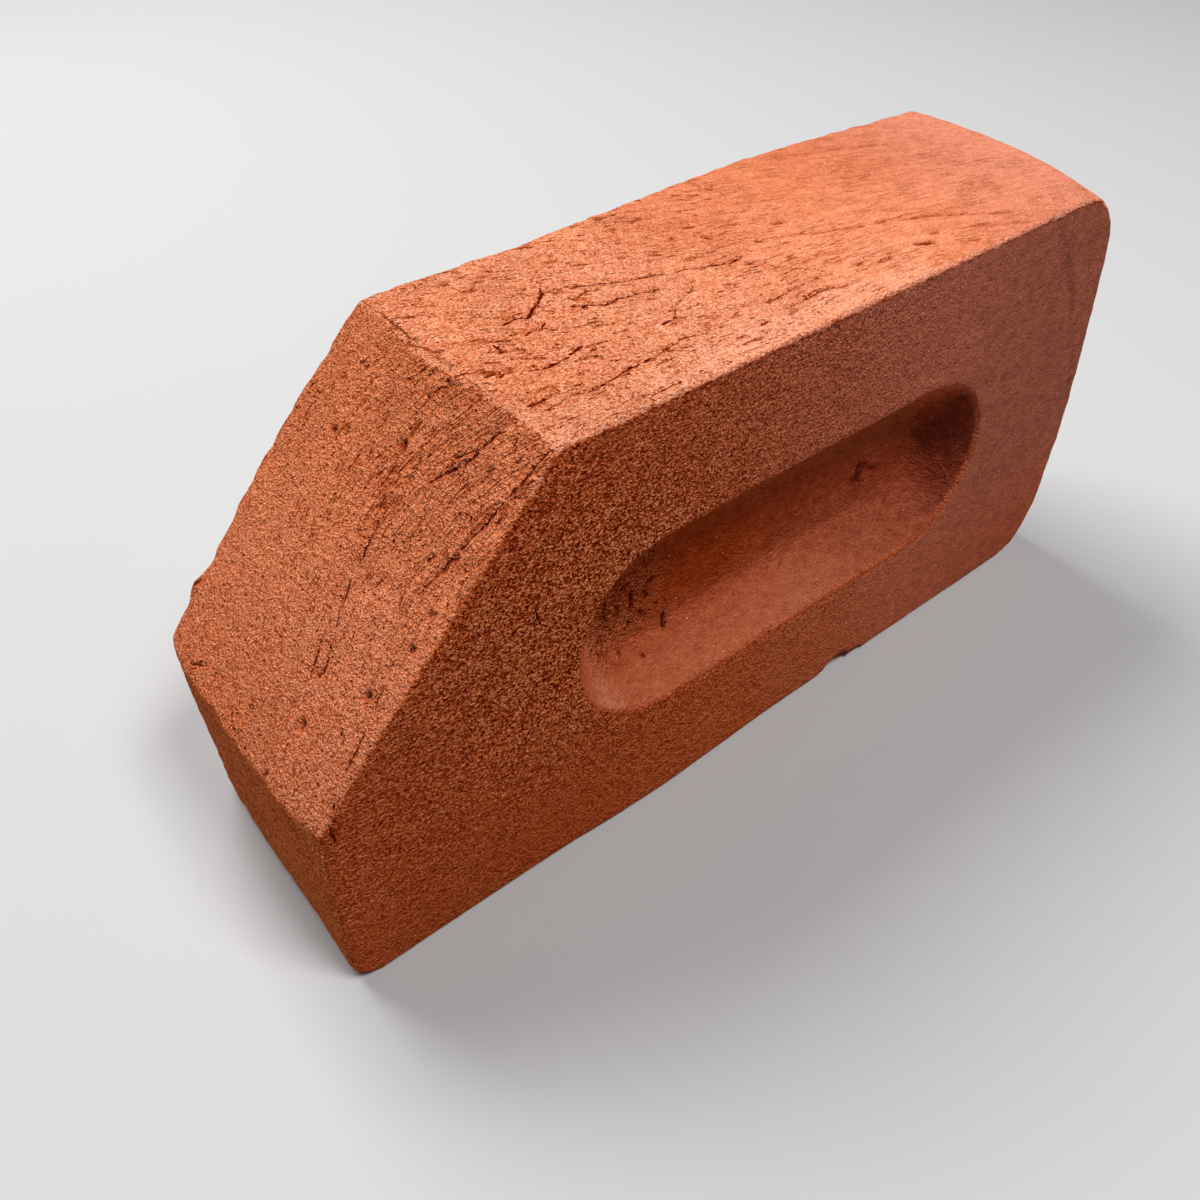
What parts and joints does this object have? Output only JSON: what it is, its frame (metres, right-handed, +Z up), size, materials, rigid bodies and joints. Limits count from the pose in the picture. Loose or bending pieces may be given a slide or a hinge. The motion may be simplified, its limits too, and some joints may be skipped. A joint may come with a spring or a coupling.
{
  "type": "single cant clay brick",
  "caption": "Red fired-clay facing brick with one end corner cut off at 45 degrees, a round-ended frog in one bed and sanded, creased faces.",
  "frame": {"origin": "middle of the footprint, on the floor that the brick stands on, with the brick on its long stretcher face", "axes": "+X along the brick's length towards its square end, with the cant at the -X end; -Y out of the frogged bed and +Y out of the plain bed; +Z up, across the brick's width"},
  "size_m": [0.215, 0.065, 0.1025],
  "materials": {
    "fired_clay": "matte"
  },
  "bodies": {
    "root": {"single_cant_brick": "fired_clay"}
  },
  "joints": []
}
